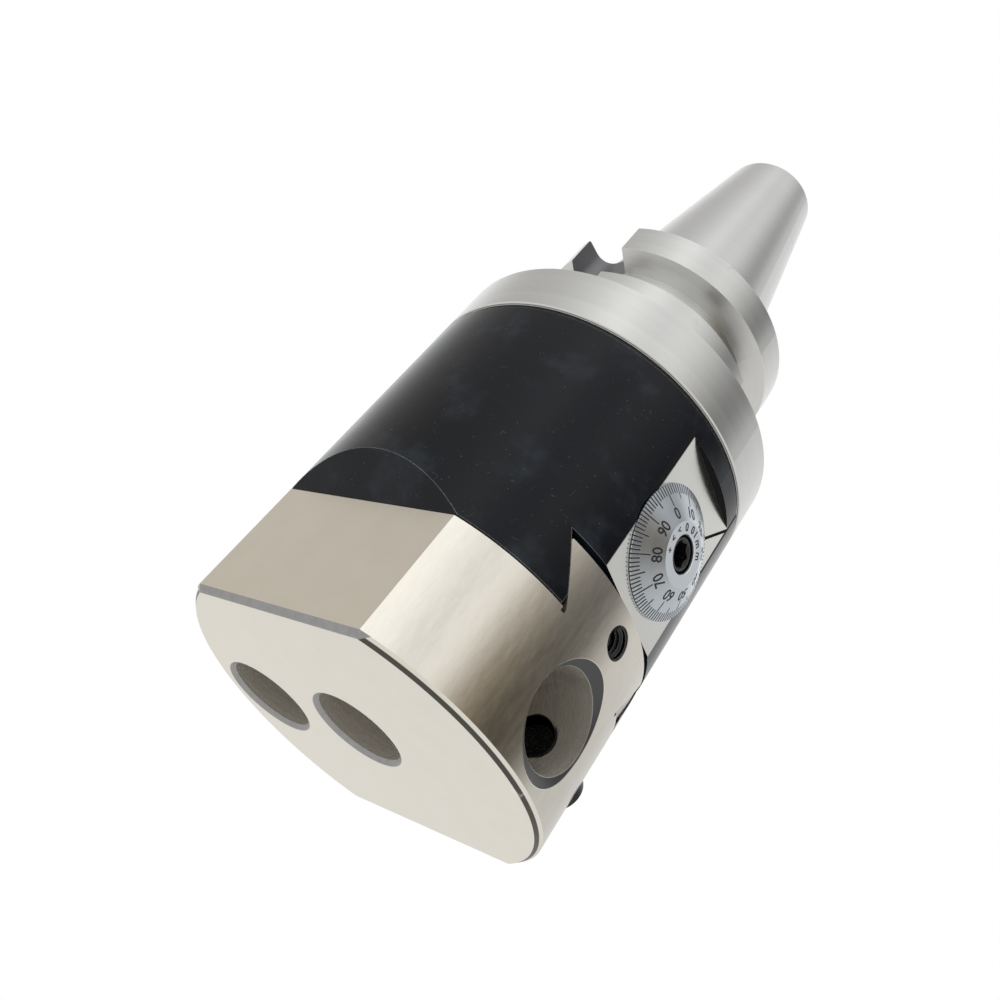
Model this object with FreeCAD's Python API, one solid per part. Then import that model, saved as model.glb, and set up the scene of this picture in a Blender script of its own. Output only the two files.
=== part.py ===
import FreeCAD, Part
import math
import os

os.makedirs("parts", exist_ok=True)

V = FreeCAD.Vector
ALONG_X = V(1, 0, 0)
ALONG_Y = V(0, 1, 0)
ALONG_Z = V(0, 0, 1)

# All sizes are millimetres. Z is the spindle axis and z = 0 is the slide's front face.
# +X is the side with the feed dial and the side bore; the clamp screws are on the +Y side.

# Slide
head_radius = 42.0
flat_cut = 7.0
shoulder_z = 29.0
face_chamfer = 1.2

# Dovetail: 60 degree way, measured from its root on the slide's shoulder
dovetail_root = 14.4
dovetail_height = 11.5
flank_lean = 30.0
root_relief = 0.9
slide_gap = 0.05
roof_gap = 1.5
lip_blunt = 1.4
gib_thickness = 4.0

# Boring bar bores
bar_radius = 10.0
bar_bore_depth = 36.0
bar_bore_chamfer = 0.9
offset_bore_edge = 14.0
side_bore_z = 15.3
side_bore_chamfer = 2.6
side_bore_chamfer_depth = 1.5
bore_wall = 1.5

# Feed: one turn of the dial moves the slide 0.5 mm, 1.0 mm on the bored diameter
slide_travel = 5.0
feed_z = 58.8
feed_radius = 5.0
run_gap = 0.05
nut_start_x = 8.0
nut_length = 16.0
nut_half_width = 8.0
nut_half_height = 8.5
nut_corner = 3.5
post_radius = 6.0
post_depth = 12.5

# Dial
dial_flat_cut = 2.0
dial_flat_end_z = 79.5
dial_radius = 14.0
dial_rim = 0.4
dial_face_radius = 6.8
dial_height = 3.7
dial_eye_radius = 3.9
dial_lift = 0.1
index_angle = 33.0
index_width = 0.7
index_depth = 0.3
index_length = 12.0

# Feed screw bearings
retainer_radius = 12.0
retainer_depth = 7.0
retainer_thickness = 3.3
thrust_radius = 9.0
washer_thickness = 1.0
collar_gap = 0.05
journal_radius = 4.0
rear_bush_radius = 7.0
rear_bush_length = 10.0
rear_bush_edge = 12.0
plug_radius = 8.0
plug_length = 7.0

# Housing
housing_length = 56.0
bevel_cut = 7.6
housing_chamfer = 0.4
spigot_radius = 25.0
spigot_depth = 9.0
spigot_gap = 0.02

# Shank: 7/24 taper, size 40
ring_thickness = 1.0
ring_step = 0.8
collar_length = 14.0
neck_length = 9.5
neck_radius = 25.0
flange_reach = 27.0
flange_radius = 31.5
flange_setback = 2.0
groove_centre = 16.6
groove_width = 10.2
groove_radius = 26.5
groove_lean = 30.0
gauge_radius = 22.225
taper_length = 65.4
taper_rate = 7.0 / 24.0 / 2.0
undercut = 0.7
stud_pilot_radius = 8.5
stud_pilot_depth = 9.0
stud_thread_radius = 8.0
stud_thread_depth = 43.0
key_width = 16.1
key_floor = 22.5
key_corner = 4.0
key_angle = -99.0

# Fasteners
shank_screw_count = 6
shank_screw_edge = 5.8
shank_screw_radius = 3.0
shank_screw_length = 20.0
shank_screw_start = 30.0
dowel_edge = 9.0
dowel_radius = 3.0
dowel_length = 14.0
bar_screw_radius = 5.0
bar_screw_clear = 1.0
side_screw_edge = 12.7
side_screw_length = 16.0
centre_screw_length = 20.0
offset_screw_length = 16.0
gib_screw_x = 24.0
gib_screw_z = 37.5
gib_screw_radius = 3.0
lock_screw_radius = 4.0
screw_sink = 0.4
post_screw_radius = 3.0
post_screw_z = 34.5
post_screw_length = 15.0
dog_reach = 1.2
thread_gap = 0.03

# Oiler
oiler_setback = 19.0
oiler_radius = 3.0
oiler_length = 7.0
oiler_ball_radius = 1.2

# Places that follow from the sizes above
flat_offset = head_radius - flat_cut
offset_bore_x = offset_bore_edge - head_radius
dial_flat_x = head_radius - dial_flat_cut
rear_bush_x = rear_bush_edge - head_radius
bevel_start = head_radius - bevel_cut
ring_radius = head_radius - ring_step
shank_screw_circle = head_radius - shank_screw_edge
dowel_circle = head_radius - dowel_edge
side_screw_x = head_radius - side_screw_edge
lean_run = math.tan(math.radians(flank_lean))
flank_gap = slide_gap / math.cos(math.radians(flank_lean))
gib_width = gib_thickness / math.cos(math.radians(flank_lean))
dovetail_top_z = shoulder_z + dovetail_height
roof_z = dovetail_top_z + roof_gap
housing_z = shoulder_z + slide_gap
housing_end_z = shoulder_z + housing_length
oiler_z = housing_end_z - oiler_setback
collar_z = housing_end_z + ring_thickness
collar_end_z = collar_z + collar_length
flange_z = collar_end_z + neck_length
gauge_z = flange_z + flange_reach
flange_end_z = gauge_z - flange_setback
taper_end_z = gauge_z + taper_length
nut_end_x = nut_start_x + nut_length
post_x = nut_end_x - post_radius
retainer_x = dial_flat_x - retainer_depth
dial_x = dial_flat_x + dial_lift
dial_face_x = dial_x + dial_height
nose_x = dial_x + 0.9
far = 3.0 * head_radius
side_bore_end_x = bar_radius + bore_wall


def rod(radius, start, length, direction):
    return Part.makeCylinder(radius, length, start, direction)


def turned(points, start, direction):
    """A solid of revolution from (radius, distance) points, standing at start along direction."""
    outline = Part.makePolygon([V(r, 0, h) for r, h in points + points[:1]])
    shape = Part.Face(outline).revolve(V(0, 0, 0), ALONG_Z, 360)
    shape.Placement = FreeCAD.Placement(start, FreeCAD.Rotation(ALONG_Z, direction))
    return shape


def chamfered_rod(radius, start, length, direction, bevel):
    points = [
        (0, 0),
        (radius - bevel, 0),
        (radius, bevel),
        (radius, length - bevel),
        (radius - bevel, length),
        (0, length),
    ]
    return turned(points, start, direction)


def chamfer_cone(radius, bevel, mouth, inward, depth=None):
    """The cutter that bevels the mouth of a bore, at 45 degrees unless a depth is given."""
    outside = radius + bevel
    depth = depth or bevel
    points = [(0, -1), (outside, -1), (outside, 0), (radius, depth), (0, depth)]
    return turned(points, mouth, inward)


def hex_prism(across_flats, start, length, direction):
    corner = across_flats / 2.0 / math.cos(math.radians(30))
    corners = [V(corner * math.cos(math.radians(60 * i)), corner * math.sin(math.radians(60 * i)), 0) for i in range(7)]
    prism = Part.Face(Part.makePolygon(corners)).extrude(V(0, 0, length))
    prism.Placement = FreeCAD.Placement(start, FreeCAD.Rotation(ALONG_Z, direction))
    return prism


def bar_along_x(outline):
    """A prism through the whole head along X, from (y, z) points."""
    corners = [V(-far / 2.0, y, z) for y, z in outline + outline[:1]]
    return Part.Face(Part.makePolygon(corners)).extrude(V(far, 0, 0))


def set_screw(radius, tip, length, direction, key):
    """A hexagon socket set screw; direction points from its tip to its socket."""
    body = chamfered_rod(radius, tip, length, direction, radius * 0.18)
    socket_depth = radius * 1.1
    mouth = tip + direction * length
    socket = hex_prism(key, mouth - direction * socket_depth, socket_depth + 1, direction)
    funnel = chamfer_cone(key / 2.0, key * 0.1, mouth, direction * -1)
    return body.cut([socket, funnel])


def flank_y(z):
    """Half width of the slide's dovetail at height z."""
    return dovetail_root + lean_run * (z - shoulder_z)


def screw_mouth_y(x):
    """Where a screw along Y leaves the slide: the flat, or the round side beyond it."""
    return min(flat_offset, math.sqrt(head_radius ** 2 - x ** 2))


# Slide body


def slide_blank():
    disc = Part.makeCylinder(head_radius, shoulder_z)
    slab = Part.makeBox(far, 2 * flat_offset, shoulder_z, V(-far / 2.0, -flat_offset, 0))
    blank = disc.common(slab)
    rim = [edge for edge in blank.Edges if edge.BoundBox.ZMax < 0.01]
    return blank.makeChamfer(face_chamfer, rim)


def slide_dovetail():
    top = flank_y(dovetail_top_z)
    bevel = 0.4
    outline = [
        (-dovetail_root, shoulder_z),
        (dovetail_root, shoulder_z),
        (top - bevel * lean_run, dovetail_top_z - bevel),
        (top - bevel, dovetail_top_z),
        (bevel - top, dovetail_top_z),
        (bevel * lean_run - top, dovetail_top_z - bevel),
    ]
    return bar_along_x(outline).common(Part.makeCylinder(head_radius, taper_end_z))


def root_reliefs():
    cuts = []
    for side in (-1, 1):
        corner_y = dovetail_root if side > 0 else -dovetail_root - root_relief
        cuts.append(Part.makeBox(far, root_relief, root_relief, V(-far / 2.0, corner_y, shoulder_z - root_relief)))
    return cuts


def bar_bores():
    cuts = []
    for x in (0, offset_bore_x):
        cuts.append(rod(bar_radius, V(x, 0, -1), bar_bore_depth + 1, ALONG_Z))
        cuts.append(chamfer_cone(bar_radius, bar_bore_chamfer, V(x, 0, 0), ALONG_Z))
    cuts.append(rod(bar_radius, V(side_bore_end_x, 0, side_bore_z), head_radius, ALONG_X))
    mouth = V(head_radius, 0, side_bore_z)
    cuts.append(chamfer_cone(bar_radius, side_bore_chamfer, mouth, ALONG_X * -1, side_bore_chamfer_depth))
    return cuts


def screw_hole(radius, start, direction):
    return rod(radius + thread_gap, start, head_radius, direction)


def make_tool_slide():
    shape = slide_blank().fuse(slide_dovetail()).removeSplitter()
    cuts = root_reliefs() + bar_bores()
    for x in (side_screw_x, 0, offset_bore_x):
        cuts.append(screw_hole(bar_screw_radius, V(x, 0, side_bore_z), ALONG_Y))
        mouth = V(x, screw_mouth_y(x), side_bore_z)
        cuts.append(chamfer_cone(bar_screw_radius + thread_gap, 0.5, mouth, ALONG_Y * -1))
    post_bottom = dovetail_top_z - post_depth
    cuts.append(rod(post_radius, V(post_x, 0, post_bottom), post_depth + 1, ALONG_Z))
    cuts.append(screw_hole(post_screw_radius, V(post_x, 0, post_screw_z), ALONG_X))
    cuts.append(chamfer_cone(post_screw_radius + thread_gap, 0.4, V(head_radius, 0, post_screw_z), ALONG_X * -1))
    return shape.cut(cuts)


def make_feed_nut():
    """Bronze nut block on a round post that stands in the top of the slide."""
    low = feed_z - nut_half_height
    block = Part.makeBox(nut_length, 2 * nut_half_width, 2 * nut_half_height, V(nut_start_x, -nut_half_width, low))
    upright = [edge for edge in block.Edges if edge.BoundBox.ZLength > nut_half_height]
    block = block.makeFillet(nut_corner, upright)
    post_bottom = dovetail_top_z - post_depth
    post = rod(post_radius - run_gap / 2.0, V(post_x, 0, post_bottom), low - post_bottom + 1, ALONG_Z)
    shape = block.fuse(post).removeSplitter()
    thread = rod(feed_radius + run_gap, V(nut_start_x - 1, 0, feed_z), nut_length + 2, ALONG_X)
    mouths = [
        chamfer_cone(feed_radius + run_gap, 0.8, V(nut_start_x, 0, feed_z), ALONG_X),
        chamfer_cone(feed_radius + run_gap, 0.8, V(nut_end_x, 0, feed_z), ALONG_X * -1),
    ]
    return shape.cut([thread] + mouths)


def make_nut_post_screw():
    tip = V(post_x + post_radius, 0, post_screw_z)
    return set_screw(post_screw_radius, tip, post_screw_length, ALONG_X, post_screw_radius)


# Bar clamp screws


def make_bar_screw(x, length):
    """Backed off so that its tip stands clear of the bar bore."""
    tip = V(x, bar_radius + bar_screw_clear, side_bore_z)
    return set_screw(bar_screw_radius, tip, length, ALONG_Y, bar_screw_radius)


# Fixed body


def housing_blank():
    points = [
        (0, housing_z),
        (head_radius - housing_chamfer, housing_z),
        (head_radius, housing_z + housing_chamfer),
        (head_radius, housing_end_z - housing_chamfer),
        (head_radius - housing_chamfer, housing_end_z),
        (0, housing_end_z),
    ]
    round_blank = turned(points, V(0, 0, 0), ALONG_Z)
    rise = head_radius + 1 - bevel_start
    bevels = [
        (-bevel_start, housing_z),
        (bevel_start, housing_z),
        (bevel_start + rise, housing_z + rise),
        (bevel_start + rise, housing_end_z),
        (-bevel_start - rise, housing_end_z),
        (-bevel_start - rise, housing_z + rise),
    ]
    return round_blank.common(bar_along_x(bevels))


def slideway():
    """The dovetail way: plain on the -Y side, with room for the gib on the +Y side."""
    plain = flank_gap
    gibbed = flank_gap + gib_width + thread_gap
    knee_z = shoulder_z + lip_blunt / lean_run
    outline = [
        (-dovetail_root - plain - lip_blunt, shoulder_z - 1),
        (dovetail_root + gibbed + lip_blunt, shoulder_z - 1),
        (dovetail_root + gibbed + lip_blunt, knee_z),
        (flank_y(roof_z) + gibbed, roof_z),
        (-flank_y(roof_z) - plain, roof_z),
        (-dovetail_root - plain - lip_blunt, knee_z),
    ]
    return bar_along_x(outline)


def nut_pocket():
    """Room for the nut over the whole slide travel, milled up from the slideway."""
    end_room = slide_travel + 0.5
    side_room = 0.6
    size_x = nut_length + 2 * end_room
    top_z = feed_z + nut_half_height + 1.2
    corner = V(nut_start_x - end_room, -nut_half_width - side_room, roof_z - 1)
    pocket = Part.makeBox(size_x, 2 * (nut_half_width + side_room), top_z - roof_z + 1, corner)
    upright = [edge for edge in pocket.Edges if edge.BoundBox.ZLength > nut_half_height]
    return pocket.makeFillet(nut_corner, upright)


def dial_flat():
    """The flat the dial stands on, open towards the slide, with the engraved index line."""
    flat = Part.makeBox(head_radius, far, dial_flat_end_z, V(dial_flat_x, -far / 2.0, 0))
    line = Part.makeBox(index_depth + 1, index_width, index_length, V(0, -index_width / 2.0, 0))
    line.translate(V(dial_flat_x - index_depth, 0, dial_radius + 0.8))
    line.rotate(V(0, 0, 0), ALONG_X, -index_angle)
    line.translate(V(0, 0, feed_z))
    return [flat, line]


def feed_bores():
    axis_end = V(rear_bush_x, 0, feed_z)
    outside = V(-head_radius, 0, feed_z)
    return [
        rod(feed_radius + 0.4, axis_end, head_radius - rear_bush_x, ALONG_X),
        rod(retainer_radius, V(retainer_x, 0, feed_z), retainer_depth + 1, ALONG_X),
        rod(rear_bush_radius, V(rear_bush_x, 0, feed_z), rear_bush_length, ALONG_X),
        rod(plug_radius, outside, rear_bush_x + head_radius, ALONG_X),
    ]


def ring_places(count, circle, start):
    places = []
    for i in range(count):
        angle = math.radians(start + 360.0 * i / count)
        places.append((circle * math.cos(angle), circle * math.sin(angle)))
    return places


def shank_screw_places():
    return ring_places(shank_screw_count, shank_screw_circle, shank_screw_start)


def dowel_places():
    return ring_places(2, dowel_circle, 2 * shank_screw_start)


def gib_side_holes():
    cuts = []
    for x, radius in gib_screws():
        cuts.append(screw_hole(radius, V(x, flank_y(gib_screw_z), gib_screw_z), ALONG_Y))
    return cuts


def gib_screws():
    return [(-gib_screw_x, gib_screw_radius), (0, lock_screw_radius), (gib_screw_x, gib_screw_radius)]


def make_head_housing():
    shape = housing_blank().cut([slideway(), nut_pocket()])
    shape = shape.cut(dial_flat() + feed_bores())
    cuts = [rod(spigot_radius, V(0, 0, housing_end_z - spigot_depth), spigot_depth + 1, ALONG_Z)]
    for x, y in shank_screw_places():
        cuts.append(rod(shank_screw_radius, V(x, y, screw_tip_z() - 1), housing_length, ALONG_Z))
    for x, y in dowel_places():
        cuts.append(rod(dowel_radius, V(x, y, collar_z - dowel_length / 2.0), dowel_length, ALONG_Z))
    cuts.append(rod(oiler_radius, V(0, head_radius - oiler_length, oiler_z), oiler_length + 1, ALONG_Y))
    return shape.cut(cuts + gib_side_holes())


def make_gib_strip():
    low_z = housing_z + 0.5
    high_z = roof_z - 0.5
    inner = flank_gap
    outer = flank_gap + gib_width
    outline = [
        (flank_y(low_z) + inner, low_z),
        (flank_y(low_z) + outer, low_z),
        (flank_y(high_z) + outer, high_z),
        (flank_y(high_z) + inner, high_z),
    ]
    shape = bar_along_x(outline).common(Part.makeCylinder(head_radius - housing_chamfer, taper_end_z))
    seats = []
    for x, radius in gib_screws():
        seats.append(rod(radius * 0.6 + thread_gap, V(x, gib_face_y() - dog_reach, gib_screw_z), head_radius, ALONG_Y))
    return shape.cut(seats)


def gib_face_y():
    """Where the screw axes meet the outer face of the gib."""
    return flank_y(gib_screw_z) + flank_gap + gib_width


def dog_point_screw(x, radius):
    """A set screw with its cylindrical point in the gib and its socket just below the round side."""
    reach = lean_run * radius
    body_tip = V(x, gib_face_y() + reach, gib_screw_z)
    length = math.sqrt(head_radius ** 2 - x ** 2) - screw_sink - body_tip.y
    body = set_screw(radius, body_tip, length, ALONG_Y, radius)
    point = rod(radius * 0.6, body_tip - ALONG_Y * (reach + dog_reach * 0.8), reach + dog_reach, ALONG_Y)
    return body.fuse(point).removeSplitter()


def make_screw_retainer():
    """Threaded ring that holds the feed screw's collar, with two pin spanner holes."""
    start = V(dial_flat_x - retainer_thickness - 0.3, 0, feed_z)
    ring = chamfered_rod(retainer_radius - thread_gap, start, retainer_thickness, ALONG_X, 0.3)
    cuts = [rod(feed_radius + run_gap, start - ALONG_X, retainer_thickness + 2, ALONG_X)]
    for side in (-1, 1):
        hole = start + V(1, side * (retainer_radius + feed_radius) / 2.0, 0)
        cuts.append(rod(1.0, hole, retainer_thickness, ALONG_X))
    return ring.cut(cuts)


def make_thrust_washer():
    start = V(retainer_x, 0, feed_z)
    washer = rod(thrust_radius, start, washer_thickness, ALONG_X)
    return washer.cut(rod(feed_radius + 0.3, start - ALONG_X, washer_thickness + 2, ALONG_X))


def make_rear_bush():
    start = V(rear_bush_x, 0, feed_z)
    bush = chamfered_rod(rear_bush_radius - thread_gap, start, rear_bush_length, ALONG_X, 0.3)
    return bush.cut(rod(journal_radius + run_gap, start - ALONG_X, rear_bush_length + 2, ALONG_X))


def make_bore_plug():
    """Closes the feed screw bore on the side away from the dial."""
    inner = V(-math.sqrt(head_radius ** 2 - plug_radius ** 2) + 0.6 + plug_length, 0, feed_z)
    return set_screw(plug_radius - thread_gap, inner, plug_length, ALONG_X * -1, plug_radius)


def make_oiler_body():
    start = V(0, math.sqrt(head_radius ** 2 - oiler_radius ** 2) - oiler_length + 0.2, oiler_z)
    body = chamfered_rod(oiler_radius - thread_gap, start, oiler_length - 0.2, ALONG_Y, 0.3)
    mouth = start + ALONG_Y * (oiler_length - 0.2)
    seat = turned([(0, 0), (oiler_ball_radius * 1.25, 0), (oiler_ball_radius * 1.25, 3), (0, 3)], mouth, ALONG_Y * -1)
    lead_in = chamfer_cone(oiler_ball_radius * 1.25, 0.6, mouth, ALONG_Y * -1)
    oilway = rod(0.6, start - ALONG_Y, oiler_length, ALONG_Y)
    return body.cut([seat, lead_in, oilway])


def make_oiler_ball():
    mouth_y = math.sqrt(head_radius ** 2 - oiler_radius ** 2)
    return Part.makeSphere(oiler_ball_radius, V(0, mouth_y - oiler_ball_radius - 0.6, oiler_z))


def make_joint_ring():
    start = V(0, 0, housing_end_z)
    ring = rod(ring_radius, start, ring_thickness, ALONG_Z)
    cuts = [rod(spigot_radius + 0.2, start - ALONG_Z, ring_thickness + 2, ALONG_Z)]
    for x, y in shank_screw_places():
        cuts.append(rod(shank_screw_radius + 0.3, V(x, y, housing_end_z - 1), ring_thickness + 2, ALONG_Z))
    for x, y in dowel_places():
        cuts.append(rod(dowel_radius + 0.1, V(x, y, housing_end_z - 1), ring_thickness + 2, ALONG_Z))
    return ring.cut(cuts)


def screw_head_z():
    """Underside of the cap screw heads, sunk into the collar's rear face."""
    return collar_end_z - 2.0 * shank_screw_radius - 0.5


def screw_tip_z():
    return screw_head_z() - shank_screw_length


def make_shank_screw(x, y):
    radius = shank_screw_radius
    head_radius_here = radius * 5.0 / 3.0
    head_z = screw_head_z()
    head = chamfered_rod(head_radius_here, V(x, y, head_z), 2.0 * radius, ALONG_Z, 0.4)
    stem = chamfered_rod(radius - thread_gap, V(x, y, screw_tip_z()), shank_screw_length + 0.5, ALONG_Z, 0.5)
    socket_z = head_z + radius
    socket = hex_prism(radius * 5.0 / 3.0, V(x, y, socket_z), 2.0 * radius, ALONG_Z)
    return head.fuse(stem).removeSplitter().cut(socket)


def make_dowel_pin(x, y):
    return chamfered_rod(dowel_radius - thread_gap, V(x, y, collar_z - dowel_length / 2.0), dowel_length, ALONG_Z, 0.5)


def shank_profile():
    """Half section of the shank: spigot, collar, neck, flange with gripper groove, taper."""
    groove_z = gauge_z - groove_centre
    slope = (flange_radius - groove_radius) * math.tan(math.radians(groove_lean))
    edge = 0.5
    end_radius = gauge_radius - taper_rate * taper_length
    start_radius = gauge_radius - undercut
    return [
        (0, housing_end_z - spigot_depth + 0.5),
        (spigot_radius - 1, housing_end_z - spigot_depth + 0.5),
        (spigot_radius - spigot_gap, housing_end_z - spigot_depth + 1.5),
        (spigot_radius - spigot_gap, collar_z),
        (head_radius - edge, collar_z),
        (head_radius, collar_z + edge),
        (head_radius, collar_end_z - edge),
        (head_radius - edge, collar_end_z),
        (neck_radius, collar_end_z),
        (neck_radius, flange_z),
        (flange_radius - edge, flange_z),
        (flange_radius, flange_z + edge),
        (flange_radius, groove_z - groove_width / 2.0),
        (groove_radius, groove_z - groove_width / 2.0 + slope),
        (groove_radius, groove_z + groove_width / 2.0 - slope),
        (flange_radius, groove_z + groove_width / 2.0),
        (flange_radius, flange_end_z - edge),
        (flange_radius - edge, flange_end_z),
        (start_radius, flange_end_z),
        (start_radius, gauge_z - undercut),
        (gauge_radius, gauge_z),
        (end_radius + taper_rate, taper_end_z - 1),
        (end_radius - 1, taper_end_z),
        (0, taper_end_z),
    ]


def drive_slots():
    """Two slots across the flange for the spindle keys, with round corners at the floor."""
    height = flange_end_z - collar_end_z
    slot = Part.makeBox(head_radius, key_width, height, V(key_floor, -key_width / 2.0, 0))
    floor_edges = [edge for edge in slot.Edges if edge.BoundBox.XMax < key_floor + 0.01 and edge.BoundBox.YLength < 0.01]
    floor_edges = [edge for edge in floor_edges if edge.BoundBox.ZLength > 1]
    slot = slot.makeFillet(key_corner, floor_edges)
    slots = []
    for turn in (0, 180):
        copy = slot.copy()
        copy.translate(V(0, 0, flange_z - neck_length / 3.0))
        copy.rotate(V(0, 0, 0), ALONG_Z, key_angle + turn)
        slots.append(copy)
    return slots


def make_taper_shank():
    shape = turned(shank_profile(), V(0, 0, 0), ALONG_Z)
    corner = [
        edge
        for edge in shape.Edges
        if abs(edge.BoundBox.ZMin - collar_end_z) < 0.01
        and abs(edge.BoundBox.ZMax - collar_end_z) < 0.01
        and edge.BoundBox.XMax < neck_radius + 0.1
    ]
    shape = shape.makeFillet(neck_length / 4.0, corner)
    top = V(0, 0, taper_end_z)
    down = ALONG_Z * -1
    cuts = drive_slots()
    cuts.append(rod(stud_pilot_radius, top - ALONG_Z * stud_pilot_depth, stud_pilot_depth + 1, ALONG_Z))
    cuts.append(chamfer_cone(stud_pilot_radius, 1.0, top, down))
    cuts.append(rod(stud_thread_radius, top - ALONG_Z * stud_thread_depth, stud_thread_depth, ALONG_Z))
    head_bore = shank_screw_radius * 5.0 / 3.0 + 0.4
    for x, y in shank_screw_places():
        cuts.append(rod(shank_screw_radius + 0.3, V(x, y, collar_z - 1), collar_length + 2, ALONG_Z))
        cuts.append(rod(head_bore, V(x, y, screw_head_z()), collar_length, ALONG_Z))
    for x, y in dowel_places():
        cuts.append(rod(dowel_radius, V(x, y, collar_z - dowel_length / 2.0), dowel_length, ALONG_Z))
    return shape.cut(cuts)


# Dial body


def make_feed_screw():
    """Lead screw with thrust collar, rear journal and the socket in the middle of the dial."""
    thrust_x = retainer_x + washer_thickness + collar_gap
    thrust_end_x = dial_flat_x - retainer_thickness - 0.3 - collar_gap
    nose_end_x = dial_face_x - 0.5
    start = rear_bush_x + 1
    points = [
        (0, start),
        (journal_radius - 0.5, start),
        (journal_radius, start + 0.5),
        (journal_radius, rear_bush_x + rear_bush_length + 1),
        (feed_radius, rear_bush_x + rear_bush_length + 2),
        (feed_radius, thrust_x),
        (thrust_radius, thrust_x),
        (thrust_radius, thrust_end_x),
        (feed_radius, thrust_end_x),
        (feed_radius, nose_x),
        (dial_eye_radius - 0.1, nose_x),
        (dial_eye_radius - 0.1, nose_end_x - 0.4),
        (dial_eye_radius - 0.5, nose_end_x),
        (0, nose_end_x),
    ]
    shape = turned(points, V(0, 0, feed_z), ALONG_X)
    key = feed_radius
    socket = hex_prism(key, V(nose_end_x - key, 0, feed_z), key + 1, ALONG_X)
    funnel = chamfer_cone(key / 2.0, 0.5, V(nose_end_x, 0, feed_z), ALONG_X * -1)
    return shape.cut([socket, funnel, dial_pin_space(0.02)])


def dial_pin_space(gap):
    """The pin that makes the dial and the screw turn together; gap widens it into its hole."""
    pin_radius = 0.45
    height = (feed_radius + dial_eye_radius) / 2.0
    start = V(nose_x - 1.5 - gap, 0, feed_z + height)
    return rod(pin_radius + gap, start, 2.8 + 2 * gap, ALONG_X)


def make_dial_pin():
    return dial_pin_space(0)


def make_graduated_dial():
    """Low cone that carries the hundred graduations, with a flat face round the socket."""
    points = [
        (feed_radius + 0.03, dial_x),
        (dial_radius - 0.2, dial_x),
        (dial_radius, dial_x + 0.2),
        (dial_radius, dial_x + dial_rim),
        (dial_face_radius, dial_face_x),
        (dial_eye_radius + 0.3, dial_face_x),
        (dial_eye_radius, dial_face_x - 0.3),
        (dial_eye_radius, nose_x + 0.05),
        (feed_radius + 0.03, nose_x + 0.05),
    ]
    return turned(points, V(0, 0, feed_z), ALONG_X).cut(dial_pin_space(0.02))


def save(name, shape):
    shape.exportStep("parts/" + name + ".step")
    print(name, "valid" if shape.isValid() else "NOT VALID", len(shape.Solids), round(shape.Volume))


save("taper_shank", make_taper_shank())
save("joint_ring", make_joint_ring())
save("head_housing", make_head_housing())
for number, (x, y) in enumerate(shank_screw_places(), 1):
    save("shank_screw_" + str(number), make_shank_screw(x, y))
for number, (x, y) in enumerate(dowel_places(), 1):
    save("dowel_pin_" + str(number), make_dowel_pin(x, y))
save("gib_strip", make_gib_strip())
save("gib_screw_1", dog_point_screw(-gib_screw_x, gib_screw_radius))
save("gib_screw_2", dog_point_screw(gib_screw_x, gib_screw_radius))
save("slide_lock_screw", dog_point_screw(0, lock_screw_radius))
save("screw_retainer", make_screw_retainer())
save("thrust_washer", make_thrust_washer())
save("rear_bush", make_rear_bush())
save("bore_plug", make_bore_plug())
save("oiler_body", make_oiler_body())
save("oiler_ball", make_oiler_ball())
save("feed_screw", make_feed_screw())
save("graduated_dial", make_graduated_dial())
save("dial_pin", make_dial_pin())
save("tool_slide", make_tool_slide())
save("feed_nut", make_feed_nut())
save("nut_post_screw", make_nut_post_screw())
save("centre_clamp_screw", make_bar_screw(0, centre_screw_length))
save("offset_clamp_screw", make_bar_screw(offset_bore_x, offset_screw_length))
save("side_clamp_screw", make_bar_screw(side_screw_x, side_screw_length))
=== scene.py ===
# %% [markdown]
# # Dressing a micro-adjust boring head
# A boring head holds a boring bar a little off the spindle's axis, and a dial moves it by hundredths of a millimetre.
# The solids of the head come ready made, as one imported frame, so this lesson is about what makes steel look like steel:
# tool marks, plating, black oxide, worn edges, and the graduations and threads that are too fine to be solids.
# Everything is in metres, in the frame of the solids: Z is the spindle's axis, z = 0 is the slide's front face.
# %% Load the frame
import math

import bpy
from mathutils import Matrix, Vector


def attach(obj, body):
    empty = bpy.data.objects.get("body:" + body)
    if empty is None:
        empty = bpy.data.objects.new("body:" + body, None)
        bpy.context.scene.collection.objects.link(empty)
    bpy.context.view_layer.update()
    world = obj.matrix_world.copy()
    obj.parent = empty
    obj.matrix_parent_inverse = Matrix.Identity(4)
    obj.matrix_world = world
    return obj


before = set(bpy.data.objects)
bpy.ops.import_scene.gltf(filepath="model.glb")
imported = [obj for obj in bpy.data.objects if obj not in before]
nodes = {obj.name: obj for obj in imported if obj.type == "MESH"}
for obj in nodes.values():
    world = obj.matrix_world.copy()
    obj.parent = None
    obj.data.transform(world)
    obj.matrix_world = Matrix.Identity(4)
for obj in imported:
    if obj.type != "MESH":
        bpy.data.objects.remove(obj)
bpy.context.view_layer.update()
MM = 0.001

# %% [markdown]
# Every mask of a finish is written with the sizes of the head. They are named once here, in millimetres, as on the
# drawing of the solids.
# %% Sizes of the head, in millimetres
body_radius = 42.0
bore_radius = 10.0
side_bore_z = 15.3
offset_bore_x = -28.0
side_clamp_x = 29.3
post_screw_z = 34.5
dial_flat_x = 40.0
dial_flat_end_z = 79.5
collar_middle_z = 93.0
shank_screw_circle = 36.2
slot_middle_z = 120.4
slot_half_width = 8.05
slot_angle = -99.0
gauge_z = 136.5
stud_hole_radius = 8.5
print("sizes named for a head of", 2 * body_radius, "mm")

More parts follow.
